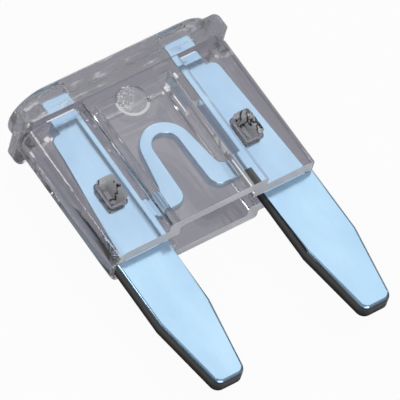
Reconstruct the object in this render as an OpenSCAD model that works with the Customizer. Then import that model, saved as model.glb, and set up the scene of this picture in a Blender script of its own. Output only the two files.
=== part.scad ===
// Miniature plug-in blade fuse: a clear moulded housing over one stamped zinc element.
// It lies on its back: X across the blades, Y from the blade tips to the head, Z up through the front face.
// Modules draw in fuse coordinates, with Y = 0 at the housing's lower rim and Z = 0 on the element's middle
// plane, and placed() moves them to the row frame.

/* [Contact blades] */
// Width of each blade
blade_w = 2.8; // [2.4:0.05:3.2]
// Thickness of the stamped strip
blade_t = 0.8; // [0.6:0.05:0.9]
// Distance between the two blades' centre lines
blade_pitch = 8.1; // [7.7:0.05:9]
// Length of blade below the housing's rim
blade_exposed = 7.35; // [6.5:0.05:9]
// Length of the tapered end of each blade
taper_len = 3.85; // [2.5:0.05:5]
// Width of the blade's tip
tip_w = 1.55; // [1.2:0.05:2]
// Corner radius of the blade's tip
tip_r = 0.45; // [0.1:0.05:0.5]

/* [Element inside the housing] */
// How far the blade's outer edge steps in above the rim, where it stops against the housing
stop_step = 0.45; // [0.3:0.05:0.7]
// How far the embedded blade's outer edge leans in between the rim and the shoulder
edge_lean = 0.4; // [0:0.05:0.5]
// Height of the blade's shoulder above the rim
shoulder_h = 6.95; // [6.3:0.05:7.2]
// Radius of the shoulder's outer corner
shoulder_r = 0.4; // [0.1:0.05:0.5]
// Width of the test tab above the shoulder
tab_w = 1.45; // [1:0.05:1.7]
// Height of the test tab above the shoulder
tab_h = 1.65; // [1.2:0.05:1.8]
// Corner radius of the test tab
tab_r = 0.15; // [0.05:0.05:0.3]

/* [Fuse link] */
// Height of the top of the link's arch above the rim
arch_h = 5.4; // [4.8:0.05:5.8]
// Half width of the arch at its top, outside
arch_half_w = 1.11; // [0.95:0.05:1.3]
// Thickness of the arch at its top
arch_bar = 0.6; // [0.5:0.02:0.8]
// Thickness of the link, which is thinned from the back of the strip
link_t = 0.45; // [0.3:0.05:0.6]
// Distance from each blade's inner edge to the start of the thinned link
thin_in = 0.1; // [0.05:0.05:0.3]
// Width of each leg of the arch at its top
leg_w = 0.46; // [0.4:0.02:0.6]
// How far each leg leans outwards over its height, on its outer side
leg_lean = 0.54; // [0.3:0.05:0.7]
// How far each leg leans outwards over its height, on its inner side
leg_lean_in = 0.1; // [0.05:0.05:0.4]
// Height of the foot's lower edge above the rim
foot_y = 1.2; // [0.9:0.05:1.6]
// Width of the foot that joins a leg to its blade
foot_w = 1.0; // [0.8:0.05:1.2]
// Outer corner radius of the arch
arch_r = 1.3; // [0.5:0.05:1.4]
// Inner corner radius of the arch
arch_inner_r = 0.64; // [0.3:0.02:0.7]
// Radius between a leg's outer side and its foot
foot_r = 0.3; // [0.15:0.05:0.4]
// Radius between a leg's inner side and its foot
foot_inner_r = 0.6; // [0.3:0.05:0.8]

/* [Housing] */
// Width of the housing
body_w = 11.3; // [11:0.05:12.5]
// Height of the housing from its rim to its top
body_h = 8.95; // [8.8:0.05:10]
// Thickness of the housing over the blades
end_t = 2.3; // [1.8:0.05:2.8]
// Corner radius of the housing's sides over the blades
end_r = 0.8; // [0.3:0.05:0.85]
// How far the sides draw in at the rim
side_draft = 0.15; // [0.05:0.05:0.25]
// Height of the steeper draw-in above the rim
draft_h = 1.7; // [1:0.1:3]
// Corner radius at the rim's two ends
rim_r = 0.2; // [0.1:0.05:0.3]
// Width of the central window block
block_w = 5.4; // [5:0.05:6]
// Thickness of the central window block
block_t = 3.4; // [3:0.05:3.5]
// Corner radius of the window block
block_r = 0.15; // [0.05:0.05:0.3]

/* [Head] */
// Height of the head above the body's faces
head_h = 1.45; // [1.1:0.05:1.5]
// Thickness of the head
head_t = 3.6; // [3.5:0.05:4]
// Radius of the head's long edges
head_r = 0.3; // [0.1:0.05:0.5]
// Corner radius of the head's two ends, seen from the front
head_end_r = 0.45; // [0.2:0.05:0.5]
// Height of the round-ended cap at the top of the head
cap_h = 0.4; // [0.2:0.05:0.6]
// Length of the cap
cap_w = 11; // [10.5:0.05:11.2]
// Thickness of the cap
cap_t = 3.5; // [3.3:0.05:3.5]

/* [Inside the housing] */
// Clearance between the element and its slot, on each side
fit_gap = 0.03; // [0.02:0.01:0.06]
// Width of the cavity round the link
cavity_w = 4.1; // [3.8:0.05:4.3]
// Thickness of the window walls in front of and behind the link
window_wall = 0.6; // [0.45:0.05:0.7]
// Depth of the cavity above the rim
cavity_h = 7.2; // [6.2:0.05:7.4]
// Height of the air pocket above each blade's shoulder
pocket_h = 0.6; // [0.3:0.05:0.7]

/* [Stakes] */
// Width of the hole in each blade
stake_w = 1.0; // [0.8:0.05:1.2]
// Height of the hole in each blade
stake_h = 1.5; // [1.2:0.05:1.8]
// Corner radius of the hole
stake_r = 0.2; // [0.1:0.05:0.3]
// Distance from the blade's inner edge to the hole's centre line
stake_in = 1.12; // [0.95:0.02:1.3]
// Height of the hole's centre above the rim
stake_y = 3.13; // [2.6:0.05:3.8]
// How deep the plastic plug reaches into the blade
plug_depth = 0.6; // [0.4:0.05:0.7]
// Thickness of plastic left under the punch mark
plug_floor = 0.3; // [0.2:0.05:0.4]
// How far each sloping side of the punch mark runs in
punch_slope = 0.22; // [0.1:0.02:0.3]

/* [Gate mark] */
// Diameter of the round mould mark on the window
gate_d = 1.65; // [1.2:0.05:1.8]
// Depth of the mark
gate_depth = 0.06; // [0.03:0.01:0.1]
// Distance of the mark to the left of the middle
gate_x = 0.6; // [0:0.05:0.8]
// Height of the mark's centre above the rim
gate_y = 6.4; // [6:0.05:6.6]

/* [Hidden] */
$fn = 48;
corner_steps = 8;
eps = 0.01;
over = 1;

blade_in = (blade_pitch - blade_w) / 2;
blade_mid = blade_pitch / 2;
blade_out = (blade_pitch + blade_w) / 2;
inside_out = blade_out - stop_step;
inside_top = inside_out - edge_lean;
tab_out = blade_in + tab_w;
tab_top = shoulder_h + tab_h;
shoulder_round = min(shoulder_r, inside_top - tab_out);
taper_y = taper_len - blade_exposed;
arch_in_y = arch_h - arch_bar;
foot_top = foot_y + foot_w;
arch_in_half = arch_half_w - leg_w;
arch_round = min(arch_r, widest_round(arch_half_w, leg_lean, arch_h - foot_top));
arch_in_round = min(arch_inner_r, widest_round(arch_in_half, leg_lean_in, arch_in_y - foot_y));
head_y = body_h - head_h;
cap_y = body_h - cap_h;
head_end_round = min(head_end_r, (cap_y - head_y) / 2);
slot_t = blade_t + 2 * fit_gap;
cavity_t = block_t - 2 * window_wall;
stake_x = blade_in + stake_in;
row_y = (blade_exposed - body_h) / 2;

// Largest radius that rounds the corner of an arch of this half width, whose leg leans out over its height
function widest_round(half_w, lean, height) = half_w / tan((90 - atan(lean / height)) / 2);

// Points of the arc of radius r that rounds the corner b between a and c
function corner(a, b, c, r) =
    r == 0 ? [b] :
    let (
        u = (a - b) / norm(a - b),
        v = (c - b) / norm(c - b),
        half = acos(u * v) / 2,
        mid = b + (u + v) / norm(u + v) * r / sin(half),
        start = b + u * r / tan(half) - mid,
        turn = (u.x * v.y - u.y * v.x > 0 ? -1 : 1) * (180 - 2 * half)
    )
    [for (i = [0 : corner_steps])
        let (t = turn * i / corner_steps)
        mid + [start.x * cos(t) - start.y * sin(t), start.x * sin(t) + start.y * cos(t)]];

// Outline through points [x, y, corner radius], with every corner rounded
function rounded(points) =
    let (n = len(points), p = [for (q = points) [q.x, q.y]])
    [for (i = [0 : n - 1]) each corner(p[(i + n - 1) % n], p[i], p[(i + 1) % n], points[i].z)];

// A right-hand outline, top to bottom, joined to its mirror image
function both_sides(points) =
    let (n = len(points))
    concat(points, [for (i = [1 : n]) let (q = points[n - i]) [-q.x, q.y, q.z]]);

// Moves fuse coordinates to the row frame: middle of the length at Y = 0, back of the head at Z = 0
module placed() {
    translate([0, row_y, head_t / 2]) children();
}

// Extrudes a section drawn in X and Z along Y, from y0 to y1
module along_y(y0, y1) {
    translate([0, y1, 0]) rotate([90, 0, 0]) linear_extrude(y1 - y0) children();
}

// Extrudes an outline drawn in X and Y through the thickness t, centred on the middle plane
module plate(t) {
    translate([0, 0, -t / 2]) linear_extrude(t) children();
}

module both() {
    children();
    mirror([1, 0, 0]) children();
}

module round_rect(w, h, r) {
    square([w - 2 * r, h], center = true);
    square([w, h - 2 * r], center = true);
    for (x = [-1, 1], y = [-1, 1]) translate([x * (w / 2 - r), y * (h / 2 - r)]) circle(r);
}

// Blade, tab and link on one side of the stamping, from the top of the arch round to its underside
element_half = [
    [arch_half_w, arch_h, arch_round],
    [arch_half_w + leg_lean, foot_top, foot_r],
    [blade_in, foot_top, 0],
    [blade_in, tab_top, tab_r],
    [tab_out, tab_top, tab_r],
    [tab_out, shoulder_h, 0],
    [inside_top, shoulder_h, shoulder_round],
    [inside_out, 0, 0],
    [blade_out, 0, 0],
    [blade_out, taper_y, 0],
    [blade_mid + tip_w / 2, -blade_exposed, tip_r],
    [blade_mid - tip_w / 2, -blade_exposed, tip_r],
    [blade_in, taper_y, 0],
    [blade_in, foot_y, 0],
    [arch_in_half + leg_lean_in, foot_y, foot_inner_r],
    [arch_in_half, arch_in_y, arch_in_round],
];

// Space cut from the back of the strip, which leaves the link thinner than the blades
module link_thinning() {
    half_w = blade_in - thin_in;
    translate([-half_w, 0, -blade_t / 2 - over])
        cube([2 * half_w, arch_h + over, blade_t - link_t + over]);
}

module fuse_element() {
    color("lightsteelblue") placed() difference() {
        plate(blade_t) difference() {
            polygon(rounded(both_sides(element_half)));
            both() translate([stake_x, stake_y]) round_rect(stake_w, stake_h, stake_r);
        }
        link_thinning();
    }
}

// Sides of the body seen from the front, drawn in towards the rim
body_half = [
    [body_w / 2, head_y + eps, 0],
    [body_w / 2 - side_draft / 3, draft_h, 0],
    [body_w / 2 - side_draft, 0, rim_r],
];

// Ends of the head seen from the front, below the cap
head_half = [
    [body_w / 2, cap_y, head_end_round],
    [body_w / 2, head_y, head_end_round],
];

module outer_form() {
    intersection() {
        along_y(0, head_y + eps) round_rect(body_w, end_t, end_r);
        plate(head_t) polygon(rounded(both_sides(body_half)));
    }
    along_y(0, head_y + eps) round_rect(block_w, block_t, block_r);
    intersection() {
        along_y(head_y, cap_y) round_rect(body_w, head_t, head_r);
        plate(head_t) polygon(rounded(both_sides(head_half)));
    }
    along_y(cap_y - eps, body_h) {
        square([cap_w - cap_t, cap_t], center = true);
        for (x = [-1, 1]) translate([x * (cap_w - cap_t) / 2, 0]) circle(cap_t / 2);
    }
}

// Slot round one blade, which follows its leaning edge and leaves a pocket above the shoulder
blade_slot = [
    [blade_in - fit_gap, shoulder_h + pocket_h],
    [inside_top + fit_gap, shoulder_h + pocket_h],
    [inside_top + fit_gap, shoulder_h],
    [inside_out + fit_gap, 0],
    [inside_out + fit_gap, -over],
    [blade_in - fit_gap, -over],
];

// Slot for the stamping, open at the rim, with a probe window over each tab
module element_slot() {
    link_top = arch_h + fit_gap;
    plate(slot_t) translate([-blade_in, -over]) square([2 * blade_in, link_top + over]);
    both() {
        plate(slot_t) polygon(blade_slot);
        along_y(0, body_h + over)
            translate([blade_in - fit_gap, -slot_t / 2]) square([tab_w + 2 * fit_gap, slot_t]);
    }
}

module link_cavity() {
    along_y(-over, cavity_h) square([cavity_w, cavity_t], center = true);
}

// Plastic pressed from the front wall into the hole in a blade
module stake_plug() {
    plug_low = blade_t / 2 - plug_depth;
    translate([stake_x, stake_y, plug_low])
        linear_extrude(plug_depth + fit_gap + eps)
            round_rect(stake_w - 2 * fit_gap, stake_h - 2 * fit_gap, stake_r);
}

// Mark of the punch that pressed the plug, narrowing from the front face to its floor
module punch_mark() {
    mark_low = blade_t / 2 - plug_depth + plug_floor;
    mark_w = stake_w - 2 * fit_gap;
    mark_h = stake_h - 2 * fit_gap;
    translate([stake_x, stake_y, 0]) hull() {
        translate([0, 0, mark_low])
            cube([mark_w - 2 * punch_slope, mark_h - 2 * punch_slope, 2 * eps], center = true);
        translate([0, 0, end_t / 2])
            linear_extrude(eps) round_rect(mark_w, mark_h, stake_r, $fn = 24);
    }
}

module gate_mark() {
    translate([-gate_x, gate_y, block_t / 2 - gate_depth]) cylinder(h = gate_depth + over, d = gate_d);
}

module housing() {
    color([0.62, 0.60, 0.68, 0.5]) placed() difference() {
        union() {
            difference() {
                outer_form();
                element_slot();
                link_cavity();
            }
            both() stake_plug();
        }
        both() punch_mark();
        gate_mark();
    }
}

housing();
fuse_element();
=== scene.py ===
"""Looks of a clear plug-in blade fuse that lies on its back: finish, light and camera."""
import math

import bmesh
import bpy
from mathutils import Matrix, Vector


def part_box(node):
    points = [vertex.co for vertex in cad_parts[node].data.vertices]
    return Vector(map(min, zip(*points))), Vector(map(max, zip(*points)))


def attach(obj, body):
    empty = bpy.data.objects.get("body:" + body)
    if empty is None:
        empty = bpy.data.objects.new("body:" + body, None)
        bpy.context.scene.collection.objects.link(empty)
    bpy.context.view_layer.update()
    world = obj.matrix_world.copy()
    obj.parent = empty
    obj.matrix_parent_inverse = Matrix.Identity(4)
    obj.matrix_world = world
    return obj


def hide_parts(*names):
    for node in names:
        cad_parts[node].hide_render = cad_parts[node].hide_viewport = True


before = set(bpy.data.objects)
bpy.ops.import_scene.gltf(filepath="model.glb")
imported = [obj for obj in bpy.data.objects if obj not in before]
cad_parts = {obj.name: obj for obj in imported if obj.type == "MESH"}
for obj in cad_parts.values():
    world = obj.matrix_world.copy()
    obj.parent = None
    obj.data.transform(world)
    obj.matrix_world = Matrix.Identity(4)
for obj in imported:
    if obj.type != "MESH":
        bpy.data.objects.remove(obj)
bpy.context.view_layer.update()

# Units: lengths are in millimetres, apart from the floor's size and the lamps, which are in metres
MM = 0.001
SHARP_DEG = 35
FLAT_DEG = 0.5
SMOOTH_DEG = 30
WELD = 0.0001
NEAR = 0.002

# Camera: angles in degrees, azimuth 0 looks along +Y
VIEW_AZIMUTH = -48.93
VIEW_ELEVATION = 56.71
VIEW_ROLL = -17.75
VIEW_AIM = (0.036, 0.443, 1.8)
VIEW_DISTANCE = 266.9
SENSOR = 36.0
LENS = 528.9
CLIP_NEAR_M = 0.01
CLIP_FAR_M = 10.0

# Form of the parts: the boxes come from model.glb, the other places are those of the solids
HOUSING_LOW, HOUSING_HIGH = (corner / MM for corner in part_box("housing"))
ELEMENT_LOW, ELEMENT_HIGH = (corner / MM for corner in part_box("fuse_element"))
RIM_Y = HOUSING_LOW.y
TOP_Y = HOUSING_HIGH.y
FRONT_Z = ELEMENT_HIGH.z
BACK_Z = ELEMENT_LOW.z
MID_Z = (FRONT_Z + BACK_Z) / 2
CAVITY_HALF_W = 2.05
CAVITY_TOP_Y = 6.4
CAVITY_FRONT_Z = 2.9
CAVITY_BACK_Z = 0.7
HEAD_Y = 6.7
HEAD_EDGE_Z = 3.0
HEAD_END_X = 4.3
RIM_END_X = 5.1
RIM_END_H = 0.3
STAKE_PLACE = (3.77, 2.33)
STAKE_HALF_W = 0.6
STAKE_HALF_H = 0.85
GATE_PLACE = (-0.6, 5.6)
GATE_RADIUS = 0.825
GATE_DEPTH = 0.06
GATE_SLOPE = 0.12
GATE_SHIFT = (0.03, 0.06)
BLOCK_FRONT_Z = 3.5
PROBE_PLACE = (3.375, 7.95)
PROBE_HALF_W = 0.8
PROBE_HALF_H = 0.25

# Edge rounding
BLADE_ROLL = 0.2
LINK_ROLL = 0.08
BLADE_BURR = 0.03
CAP_ROUND = 0.12
RIM_ROUND = 0.04
CAVITY_ROUND = 0.07
CEILING_ROUND = 0.13
ROUND_STEPS = 3
SMALL_STEPS = 2
ROUND_PROFILE = 0.5
FACE_WEIGHT = 100

# Finishes by number, and how far a face has to turn to get one
FACE, SHEAR = range(2)
CLEAR, MATT, GATE, PRESSED, SCUFFED, FLASH, RIM, HAZY = range(8)
SIDE_TURN = 0.5
GATE_FLOOR_TURN = 0.99
GATE_WALL_TURN = 0.12
RIM_TURN = -0.9
PROBE_TURN = 0.5

# Light: a radiance of 1 shows white
# Softboxes have a name, a radiance, a side, a distance and a direction
SOFTBOXES = (
    ("main_softbox", 0.69, 0.75, 0.6, (0.40, 0.36, 0.84)),
    ("fill_softbox", 7.0, 0.07, 0.5, (-0.72, 0.36, 0.58)),
    ("back_softbox", 2.2, 0.24, 0.5, (0.38, 0.84, 0.34)),
    ("front_softbox", 1.7, 0.45, 0.6, (-0.25, -0.85, 0.45)),
)
SKY_LOW = (0.03, 0.026, 0.025)
SKY_HIGH = (0.36, 0.365, 0.38)
SKY_RISE = (0.05, 0.75)
WHITE = (1.0, 1.0, 1.0)
LIGHT_BOUNCES = 24
GLOSSY_BOUNCES = 8

# Floor: each kind of ray sees a share of one plain tone, and the rest is the lit floor with its shadow;
# the tone for rays through the plastic is painted shade
FLOOR_SIZE = 1.2
FLOOR_DROP = 0.03
FLOOR_COLOUR = (0.70, 0.67, 0.74)
FLOOR_TONES_WITH_PAINTED_SHADE = (
    ("Is Glossy Ray", (0.5, 0.485, 0.475), 0.93),
    # Painted shade: the dark grey seen through the plastic stands in for the part's shadow on the floor
    ("Is Transmission Ray", (0.2, 0.197, 0.235), 0.93),
    ("Is Camera Ray", WHITE, 0.95),
)

# Textures: scales are per metre, ranges are of the noise, and bumps have a strength and a height
NOISE_DETAIL = 3.0
NOISE_ROUGHNESS = 0.5

# Clear plastic with its faint waves
PLASTIC_IOR = 1.56
PLASTIC_TINT = (0.965, 0.962, 0.975)
MILK_COLOUR = (0.9, 0.91, 0.93)
WAVE_SCALE = (500.0,) * 3
WAVE_RANGE = (0.35, 0.65)
WAVE_ROUGHNESS = (0.0, 0.03)
WAVE_BUMP = (0.05, 0.02 * MM)

# Frosted plastic: a roughness, then the least and the most that scatters
FROST_MATT = (0.28, 0.3, 0.6)
FROST_FLASH = (0.25, 0.9, 1.0)
FROST_RIM = (0.28, 0.6, 0.9)
FROST_HAZY = (0.16, 0.12, 0.28)
FROST_SCALE = (14000.0,) * 3
FROST_DETAIL = 2.0
FROST_RANGE = (0.42, 0.62)
FROST_BUMP = (0.35, 0.02 * MM)

# Floor of the mould mark, torn on one side
SPECK_SCALE = (13000.0,) * 3
SPECK_RANGE = (0.53, 0.6)
SPECK_VEIL = (0.0, 0.88)
SPECK_BUMP = (0.3, 0.02 * MM)
TORN_SIDE = (-0.82, 0.55, 0.0)
TORN_RANGE = (-0.2, 0.15)
GATE_VEIL = 0.12
GATE_ROUGHNESS = 0.16

# Stakes upset by the punch
CRACK_COLOUR = (0.02, 0.016, 0.015)
CRACK_SCALE = (1100.0, 1100.0, 400.0)
CRACK_WIDTH = (0.02, 0.09)
CRACK_VEIL = (0.95, 0.7)
CRACK_BUMP = (0.8, 0.15 * MM)
WANDER_SCALE = (3500.0,) * 3
WANDER_REACH = (0.7,) * 3
STAKE_ROUGHNESS = 0.1

# Front of the head, with flow lines and scuffs
FLOW_SCALE = (350.0, 1500.0, 1500.0)
FLOW_DETAIL = 2.0
FLOW_BUMP = (0.8, 0.07 * MM)
SCUFF_SCALE = (900.0, 3200.0, 3200.0)
SCUFF_RANGE = (0.58, 0.72)
SCUFF_VEIL = (0.04, 0.7)
SCUFF_ROUGHNESS = 0.06

# Rolled faces of the zinc strip
ZINC_LOW = (0.42, 0.63, 0.84)
ZINC_HIGH = (0.55, 0.78, 0.96)
ROLL_SCALE = (9000.0, 350.0, 9000.0)
ROLL_DETAIL = 4.0
ROLL_FINENESS = 0.6
ROLL_RANGE = (0.3, 0.7)
ROLL_ROUGHNESS = (0.13, 0.24)
ROLL_BUMP = (0.2, 0.01 * MM)
CLOUD_SCALE = (420.0, 260.0, 420.0)
CLOUD_DETAIL = 4.0
CLOUD_RANGE = (0.25, 0.75)

# Sheared edges of the zinc strip; their near-black colours are painted shade and dark reflection
SHEAR_PAINTED_DARK = (0.022, 0.016, 0.014)
SHEAR_BRIGHT = (0.085, 0.097, 0.105)
SHEAR_SPLIT = 0.46
SHEAR_BELOW = 0.12
SHEAR_ABOVE = 0.26
SHEAR_ROUGHNESS = (0.55, 0.28)
RAGGED_SCALE = (1500.0, 1500.0, 300.0)
RAGGED_DETAIL = 4.0
RAGGED_REACH = 0.14
TEAR_SCALE = (4000.0, 4000.0, 900.0)
TEAR_DETAIL = 5.0
TEAR_BUMP = (0.6, 0.03 * MM)

# Sockets of the colour mix node, which has several of each name
MIX_FACTOR, MIX_RESULT, MIX_LOW, MIX_HIGH = 0, 2, 6, 7


def new_material(name):
    material = bpy.data.materials.new(name)
    material.use_nodes = True
    material.node_tree.nodes.clear()
    return material, material.node_tree


def add(tree, kind, **properties):
    """A new node with its properties set."""
    node = tree.nodes.new(kind)
    for key, value in properties.items():
        setattr(node, key, value)
    return node


def output(tree, surface):
    out = add(tree, "ShaderNodeOutputMaterial")
    tree.links.new(surface, out.inputs["Surface"])


def socket_values(node, values):
    for name, value in values.items():
        node.inputs[name].default_value = value


def coordinates(tree, scale):
    """Object coordinates, in units of 1/scale metres along each axis."""
    place = add(tree, "ShaderNodeTexCoord")
    mapping = add(tree, "ShaderNodeMapping")
    mapping.inputs["Scale"].default_value = scale
    tree.links.new(place.outputs["Object"], mapping.inputs["Vector"])
    return mapping.outputs["Vector"]


def noise_node(tree, scale, detail=NOISE_DETAIL, roughness=NOISE_ROUGHNESS):
    node = add(tree, "ShaderNodeTexNoise")
    socket_values(node, {"Scale": 1.0, "Detail": detail, "Roughness": roughness})
    tree.links.new(coordinates(tree, scale), node.inputs["Vector"])
    return node


def noise(tree, scale, detail=NOISE_DETAIL, roughness=NOISE_ROUGHNESS):
    return noise_node(tree, scale, detail, roughness).outputs["Fac"]


def remap(tree, value, low, high, from_low=0.0, from_high=1.0):
    node = add(tree, "ShaderNodeMapRange")
    socket_values(node, {"From Min": from_low, "From Max": from_high, "To Min": low, "To Max": high})
    tree.links.new(value, node.inputs["Value"])
    return node.outputs["Result"]


def mix_colour(tree, factor, low, high):
    node = add(tree, "ShaderNodeMix", data_type="RGBA")
    node.inputs[MIX_LOW].default_value = (*low, 1)
    node.inputs[MIX_HIGH].default_value = (*high, 1)
    tree.links.new(factor, node.inputs[MIX_FACTOR])
    return node.outputs[MIX_RESULT]


def mix_shaders(tree, factor, low, high):
    node = add(tree, "ShaderNodeMixShader")
    for source, socket in zip((factor, low, high), node.inputs):
        tree.links.new(source, socket)
    return node.outputs["Shader"]


def bump(tree, height, strength, distance):
    node = add(tree, "ShaderNodeBump")
    socket_values(node, {"Strength": strength, "Distance": distance})
    tree.links.new(height, node.inputs["Height"])
    return node.outputs["Normal"]


def plastic_shader(tree):
    shader = add(tree, "ShaderNodeBsdfPrincipled")
    tint = (*PLASTIC_TINT, 1)
    socket_values(shader, {"Base Color": tint, "Transmission Weight": 1.0, "IOR": PLASTIC_IOR})
    return shader


def metal_shader(tree):
    shader = add(tree, "ShaderNodeBsdfPrincipled")
    shader.inputs["Metallic"].default_value = 1.0
    return shader


def veiled_plastic(tree, roughness, veil, normal, colour=None):
    """Output of clear plastic of which a share, the veil, scatters the light in a pale or given colour."""
    clear = plastic_shader(tree)
    clear.inputs["Roughness"].default_value = roughness
    tree.links.new(normal, clear.inputs["Normal"])
    milk = add(tree, "ShaderNodeBsdfDiffuse")
    milk.inputs["Color"].default_value = (*MILK_COLOUR, 1)
    if colour is not None:
        tree.links.new(colour, milk.inputs["Color"])
    tree.links.new(normal, milk.inputs["Normal"])
    output(tree, mix_shaders(tree, veil, clear.outputs["BSDF"], milk.outputs["BSDF"]))


def clear_plastic():
    """Clear moulded plastic with a faint tint and a slightly uneven surface."""
    material, tree = new_material("clear_plastic")
    shader = plastic_shader(tree)
    wave = noise(tree, WAVE_SCALE)
    tree.links.new(remap(tree, wave, *WAVE_ROUGHNESS, *WAVE_RANGE), shader.inputs["Roughness"])
    tree.links.new(bump(tree, wave, *WAVE_BUMP), shader.inputs["Normal"])
    output(tree, shader.outputs["BSDF"])
    return material


def frosted_plastic(name, roughness, milky_low, milky_high):
    """Clear plastic with a matt, grainy surface that scatters part of the light."""
    material, tree = new_material(name)
    grain = noise(tree, FROST_SCALE, FROST_DETAIL)
    veil = remap(tree, grain, milky_low, milky_high, *FROST_RANGE)
    veiled_plastic(tree, roughness, veil, bump(tree, grain, *FROST_BUMP))
    return material


def gate_plastic():
    """Floor of the mould mark: pale all over, with white specks on the side where the gate tore off."""
    material, tree = new_material("gate_plastic")
    grain = noise(tree, SPECK_SCALE)
    specks = remap(tree, grain, *SPECK_VEIL, *SPECK_RANGE)
    away = add(tree, "ShaderNodeVectorMath", operation="SUBTRACT")
    away.inputs[1].default_value = (*GATE_PLACE, 0.0)
    tree.links.new(coordinates(tree, (1 / MM,) * 3), away.inputs[0])
    along = add(tree, "ShaderNodeVectorMath", operation="DOT_PRODUCT")
    along.inputs[1].default_value = TORN_SIDE
    tree.links.new(away.outputs["Vector"], along.inputs[0])
    torn = remap(tree, along.outputs["Value"], 0.0, 1.0, *TORN_RANGE)
    veil = add(tree, "ShaderNodeMath", operation="MULTIPLY_ADD")
    tree.links.new(specks, veil.inputs[0])
    tree.links.new(torn, veil.inputs[1])
    veil.inputs[2].default_value = GATE_VEIL
    veiled_plastic(tree, GATE_ROUGHNESS, veil.outputs[0], bump(tree, grain, *SPECK_BUMP))
    return material


def pressed_plastic():
    """Plastic upset by the punch: pale facets with dark cracks between them."""
    material, tree = new_material("pressed_plastic")
    wander = noise_node(tree, WANDER_SCALE)
    ragged = add(tree, "ShaderNodeVectorMath", operation="MULTIPLY_ADD")
    ragged.inputs[1].default_value = WANDER_REACH
    tree.links.new(wander.outputs["Color"], ragged.inputs[0])
    tree.links.new(coordinates(tree, CRACK_SCALE), ragged.inputs[2])
    cells = add(tree, "ShaderNodeTexVoronoi", feature="DISTANCE_TO_EDGE")
    cells.inputs["Scale"].default_value = 1.0
    tree.links.new(ragged.outputs["Vector"], cells.inputs["Vector"])
    facet = remap(tree, cells.outputs["Distance"], 0.0, 1.0, *CRACK_WIDTH)
    veil = remap(tree, facet, *CRACK_VEIL)
    normal = bump(tree, cells.outputs["Distance"], *CRACK_BUMP)
    veiled_plastic(tree, STAKE_ROUGHNESS, veil, normal, mix_colour(tree, facet, CRACK_COLOUR, MILK_COLOUR))
    return material


def scuffed_plastic():
    """Clear plastic of the head, with flow lines along it and white scuffs from handling."""
    material, tree = new_material("scuffed_plastic")
    flow = noise(tree, FLOW_SCALE, FLOW_DETAIL)
    scuff = noise(tree, SCUFF_SCALE)
    veil = remap(tree, scuff, *SCUFF_VEIL, *SCUFF_RANGE)
    veiled_plastic(tree, SCUFF_ROUGHNESS, veil, bump(tree, flow, *FLOW_BUMP))
    return material


def zinc_face():
    """Rolled zinc strip: fine lines along the blades, cloudy patches and a soft shine."""
    material, tree = new_material("rolled_zinc")
    shader = metal_shader(tree)
    grain = noise(tree, ROLL_SCALE, ROLL_DETAIL, ROLL_FINENESS)
    cloud = noise(tree, CLOUD_SCALE, CLOUD_DETAIL)
    tone = remap(tree, cloud, 0.0, 1.0, *CLOUD_RANGE)
    tree.links.new(mix_colour(tree, tone, ZINC_LOW, ZINC_HIGH), shader.inputs["Base Color"])
    tree.links.new(remap(tree, grain, *ROLL_ROUGHNESS, *ROLL_RANGE), shader.inputs["Roughness"])
    tree.links.new(bump(tree, grain, *ROLL_BUMP), shader.inputs["Normal"])
    output(tree, shader.outputs["BSDF"])
    return material


def zinc_shear_painted_dark():
    """Sheared edge of the strip: a burnished band under the front face and a darker torn one below it,
    both coloured near-black as painted shade and dark reflection.
    """
    material, tree = new_material("sheared_zinc_painted_dark")
    shader = metal_shader(tree)
    place = add(tree, "ShaderNodeTexCoord")
    axes = add(tree, "ShaderNodeSeparateXYZ")
    tree.links.new(place.outputs["Object"], axes.inputs["Vector"])
    height = add(tree, "ShaderNodeMath", operation="MULTIPLY_ADD")
    tree.links.new(noise(tree, RAGGED_SCALE, RAGGED_DETAIL), height.inputs[0])
    height.inputs[1].default_value = RAGGED_REACH * MM
    tree.links.new(axes.outputs["Z"], height.inputs[2])
    split = FRONT_Z - SHEAR_SPLIT
    band = remap(tree, height.outputs[0], 0.0, 1.0, (split - SHEAR_BELOW) * MM, (split + SHEAR_ABOVE) * MM)
    # Painted shade and dark reflection: both bands of the sheared sides get near-black colours
    tree.links.new(mix_colour(tree, band, SHEAR_PAINTED_DARK, SHEAR_BRIGHT), shader.inputs["Base Color"])
    tree.links.new(remap(tree, band, *SHEAR_ROUGHNESS), shader.inputs["Roughness"])
    tear = noise(tree, TEAR_SCALE, TEAR_DETAIL)
    tree.links.new(bump(tree, tear, *TEAR_BUMP), shader.inputs["Normal"])
    output(tree, shader.outputs["BSDF"])
    return material


def solid_form(node):
    """A node's mesh in millimetres, with its flat regions joined into single faces."""
    form = bmesh.new()
    form.from_mesh(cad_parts[node].data)
    bmesh.ops.scale(form, vec=(1 / MM,) * 3, verts=form.verts)
    bmesh.ops.remove_doubles(form, verts=form.verts, dist=WELD)
    bmesh.ops.dissolve_limit(form, angle_limit=math.radians(FLAT_DEG), verts=form.verts, edges=form.edges)
    return form


def sharp_edges(form, test, reach_below):
    """Sharp edges whose two ends pass a test on place, and that reach below a Y if one is given."""
    return [
        edge for edge in form.edges
        if edge.is_manifold
        and edge.calc_face_angle() > math.radians(SHARP_DEG)
        and all(test(corner.co) for corner in edge.verts)
        and (reach_below is None or min(corner.co.y for corner in edge.verts) < reach_below - NEAR)
    ]


def round_over(form, test, radius, steps=ROUND_STEPS, reach_below=None, clamped=False):
    edges = sharp_edges(form, test, reach_below)
    bmesh.ops.bevel(form, geom=edges, offset=radius, offset_type="OFFSET", segments=steps,
                    profile=ROUND_PROFILE, affect="EDGES", clamp_overlap=clamped)


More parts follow.
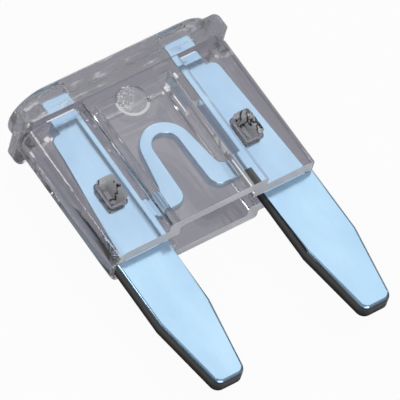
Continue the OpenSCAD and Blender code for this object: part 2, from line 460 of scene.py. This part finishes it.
def finished(form, name, materials, choose):
    """The form as an object in metres, with each face's material chosen by place and direction."""
    for face in form.faces:
        face.material_index = choose(face)
        face.smooth = True
    for edge in form.edges:
        edge.smooth = edge.is_manifold and edge.calc_face_angle() < math.radians(SMOOTH_DEG)
    bmesh.ops.scale(form, vec=(MM,) * 3, verts=form.verts)
    mesh = bpy.data.meshes.new(name)
    form.to_mesh(mesh)
    form.free()
    for material in materials:
        mesh.materials.append(material)
    piece = bpy.data.objects.new(name, mesh)
    bpy.context.scene.collection.objects.link(piece)
    keep_flat_faces(piece)
    return piece


def keep_flat_faces(piece):
    """Weighs the normals by face, so that flat faces stay flat right up to their rounded edges."""
    weigh = piece.modifiers.new("flat_faces", "WEIGHTED_NORMAL")
    weigh.weight = FACE_WEIGHT
    weigh.keep_sharp = True
    whole = piece.evaluated_get(bpy.context.evaluated_depsgraph_get())
    settled = bpy.data.meshes.new_from_object(whole)
    piece.modifiers.clear()
    piece.data = settled


def close(a, b):
    return abs(a - b) < NEAR


def on_front(place):
    return close(place.z, FRONT_Z)


def on_back(place):
    return close(place.z, BACK_Z)


def on_top(place):
    return close(place.y, TOP_Y)


def on_rim(place):
    return close(place.y, RIM_Y)


def over_cavity(place):
    return abs(place.x) < CAVITY_HALF_W + NEAR


def on_cavity_front(place):
    """True on the front edges of the cavity round the link."""
    return place.y < CAVITY_TOP_Y + NEAR and over_cavity(place) and close(place.z, CAVITY_FRONT_Z)


def on_ceiling_back(place):
    """True on the back edge of the cavity's ceiling."""
    return close(place.y, CAVITY_TOP_Y) and close(place.z, CAVITY_BACK_Z) and over_cavity(place)


def in_gate_mark(place):
    return (place.xy - Vector(GATE_PLACE)).length < GATE_RADIUS + NEAR


def stamped_finish(face):
    """Finish of a face of the stamping: sheared, with painted shade and dark reflection, on the sides of
    the blades outside the housing.
    """
    side = abs(face.normal.z) < SIDE_TURN
    exposed = face.calc_center_median().y < RIM_Y
    return SHEAR if side and exposed else FACE


def stamped_element():
    """The zinc stamping with its front edges rolled over by the die."""
    form = solid_form("fuse_element")
    round_over(form, on_front, BLADE_ROLL, reach_below=RIM_Y)
    round_over(form, on_front, LINK_ROLL)
    round_over(form, on_back, BLADE_BURR, steps=SMALL_STEPS)
    piece = finished(form, "stamped_element", [zinc_face(), zinc_shear_painted_dark()], stamped_finish)
    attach(piece, "root")
    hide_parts("fuse_element")
    return piece


def slope_gate_wall(form):
    """Leans the wall of the mould mark, so that its floor is smaller than its mouth and off centre."""
    middle = Vector(GATE_PLACE)
    share = 1 - GATE_SLOPE / GATE_RADIUS
    for corner in form.verts:
        sunk = BLOCK_FRONT_Z - NEAR > corner.co.z > BLOCK_FRONT_Z - 2 * GATE_DEPTH
        if sunk and in_gate_mark(corner.co):
            corner.co.xy = middle + (corner.co.xy - middle) * share + Vector(GATE_SHIFT)


def housing_finish(face):
    """Finish of a face of the housing, by the place of all its corners and its direction."""
    corners = [corner.co for corner in face.verts]

    def all_near(middle, half_w, half_h):
        return all(abs(abs(at.x) - middle[0]) < half_w + NEAR and abs(at.y - middle[1]) < half_h + NEAR
                   for at in corners)

    in_gate = all(in_gate_mark(at) and at.z > BLOCK_FRONT_Z - 2 * GATE_DEPTH for at in corners)
    if in_gate and face.normal.z > GATE_FLOOR_TURN:
        return GATE
    if in_gate and face.normal.xy.dot(Vector(GATE_SHIFT).normalized()) > GATE_WALL_TURN:
        return FLASH
    ceiling_edge = all(abs(at.y - CAVITY_TOP_Y) < CEILING_ROUND + NEAR
                       and abs(at.z - CAVITY_BACK_Z) < CEILING_ROUND + NEAR
                       and over_cavity(at) for at in corners)
    if ceiling_edge:
        return FLASH
    if all_near(STAKE_PLACE, STAKE_HALF_W, STAKE_HALF_H) and all(at.z > MID_Z for at in corners):
        return PRESSED
    nearest_x = max(min(at.x for at in corners), min(-at.x for at in corners))
    head_end = nearest_x > HEAD_END_X and all(at.y > HEAD_Y - NEAR for at in corners)
    rim_end = nearest_x > RIM_END_X and all(at.y < RIM_Y + RIM_END_H for at in corners)
    if head_end or rim_end:
        return HAZY
    if all(at.y > HEAD_Y - NEAR and at.z > HEAD_EDGE_Z for at in corners):
        return SCUFFED
    if face.normal.y < RIM_TURN and all(on_rim(at) for at in corners):
        return RIM
    probe = all_near(PROBE_PLACE, PROBE_HALF_W, PROBE_HALF_H) and face.normal.y < PROBE_TURN
    return MATT if probe else CLEAR


def moulded_housing():
    """The clear housing with softened edges and a finish for each kind of face."""
    form = solid_form("housing")
    round_over(form, on_top, CAP_ROUND)
    round_over(form, on_rim, RIM_ROUND, steps=SMALL_STEPS, clamped=True)
    round_over(form, on_cavity_front, CAVITY_ROUND)
    round_over(form, on_ceiling_back, CEILING_ROUND, steps=SMALL_STEPS)
    slope_gate_wall(form)
    finishes = {
        CLEAR: clear_plastic(),
        MATT: frosted_plastic("matt_plastic", *FROST_MATT),
        GATE: gate_plastic(),
        PRESSED: pressed_plastic(),
        SCUFFED: scuffed_plastic(),
        FLASH: frosted_plastic("flash_plastic", *FROST_FLASH),
        RIM: frosted_plastic("rim_plastic", *FROST_RIM),
        HAZY: frosted_plastic("hazy_plastic", *FROST_HAZY),
    }
    materials = [finishes[number] for number in sorted(finishes)]
    piece = finished(form, "moulded_housing", materials, housing_finish)
    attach(piece, "root")
    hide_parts("housing")
    return piece


def pale_floor_with_painted_shade():
    """Lit pale surface over which each kind of ray sees its share of one plain tone; the dark tone for
    rays through the plastic is painted shade for the part's shadow.
    """
    material, tree = new_material("pale_floor_with_painted_shade")
    surface = add(tree, "ShaderNodeBsdfDiffuse")
    surface.inputs["Color"].default_value = (*FLOOR_COLOUR, 1)
    shown = surface.outputs["BSDF"]
    path = add(tree, "ShaderNodeLightPath")
    for ray, colour, share in FLOOR_TONES_WITH_PAINTED_SHADE:
        glow = add(tree, "ShaderNodeEmission")
        socket_values(glow, {"Color": (*colour, 1), "Strength": 1.0})
        part = add(tree, "ShaderNodeMath", operation="MULTIPLY")
        tree.links.new(path.outputs[ray], part.inputs[0])
        part.inputs[1].default_value = share
        shown = mix_shaders(tree, part.outputs[0], shown, glow.outputs["Emission"])
    output(tree, shown)
    return material


def floor():
    """Plain floor, a hair under the part so that the two faces don't coincide."""
    mesh = bpy.data.meshes.new("floor")
    half = FLOOR_SIZE / 2
    level = -FLOOR_DROP * MM
    corners = [(-half, -half, level), (half, -half, level), (half, half, level), (-half, half, level)]
    mesh.from_pydata(corners, [], [(0, 1, 2, 3)])
    mesh.materials.append(pale_floor_with_painted_shade())
    plane = bpy.data.objects.new("floor", mesh)
    bpy.context.scene.collection.objects.link(plane)


def sky():
    """Studio surround: dark at the horizon, soft grey overhead, white to the camera."""
    world = bpy.data.worlds.new("studio")
    bpy.context.scene.world = world
    world.use_nodes = True
    tree = world.node_tree
    tree.nodes.clear()
    place = add(tree, "ShaderNodeTexCoord")
    axes = add(tree, "ShaderNodeSeparateXYZ")
    tree.links.new(place.outputs["Generated"], axes.inputs["Vector"])
    height = remap(tree, axes.outputs["Z"], 0.0, 1.0, *SKY_RISE)
    shade = add(tree, "ShaderNodeBackground")
    tree.links.new(mix_colour(tree, height, SKY_LOW, SKY_HIGH), shade.inputs["Color"])
    white = add(tree, "ShaderNodeBackground")
    white.inputs["Color"].default_value = (*WHITE, 1)
    path = add(tree, "ShaderNodeLightPath")
    seen = path.outputs["Is Camera Ray"]
    out = add(tree, "ShaderNodeOutputWorld")
    surround = mix_shaders(tree, seen, shade.outputs["Background"], white.outputs["Background"])
    tree.links.new(surround, out.inputs["Surface"])


def softbox(name, radiance, size, distance, direction):
    """Square lamp that faces the part from a direction."""
    lamp = bpy.data.lights.new(name, "AREA")
    lamp.shape = "SQUARE"
    lamp.size = size
    lamp.energy = radiance * math.pi * size ** 2
    holder = bpy.data.objects.new(name, lamp)
    bpy.context.scene.collection.objects.link(holder)
    towards = Vector(direction).normalized()
    holder.location = towards * distance
    holder.rotation_euler = towards.to_track_quat("Z", "Y").to_euler()


def camera():
    """Camera that looks at its aim from an azimuth and elevation, rolled about its own axis."""
    data = bpy.data.cameras.new("camera")
    data.sensor_width = SENSOR
    data.lens = LENS
    data.clip_start = CLIP_NEAR_M
    data.clip_end = CLIP_FAR_M
    eye = bpy.data.objects.new("camera", data)
    bpy.context.scene.collection.objects.link(eye)
    azimuth = math.radians(VIEW_AZIMUTH)
    elevation = math.radians(VIEW_ELEVATION)
    back = Vector((
        math.sin(azimuth) * math.cos(elevation),
        -math.cos(azimuth) * math.cos(elevation),
        math.sin(elevation),
    ))
    level = (-back).to_track_quat("-Z", "Y").to_matrix()
    turn = Matrix.Rotation(math.radians(-VIEW_ROLL), 3, "Z")
    place = (Vector(VIEW_AIM) + back * VIEW_DISTANCE) * MM
    eye.matrix_world = Matrix.Translation(place) @ (level @ turn).to_4x4()
    bpy.context.scene.camera = eye


scene = bpy.context.scene
scene.view_settings.view_transform = "Standard"
scene.cycles.max_bounces = LIGHT_BOUNCES
scene.cycles.transmission_bounces = LIGHT_BOUNCES
scene.cycles.glossy_bounces = GLOSSY_BOUNCES

camera()
sky()
for softbox_values in SOFTBOXES:
    softbox(*softbox_values)
floor()
stamped_element()
moulded_housing()
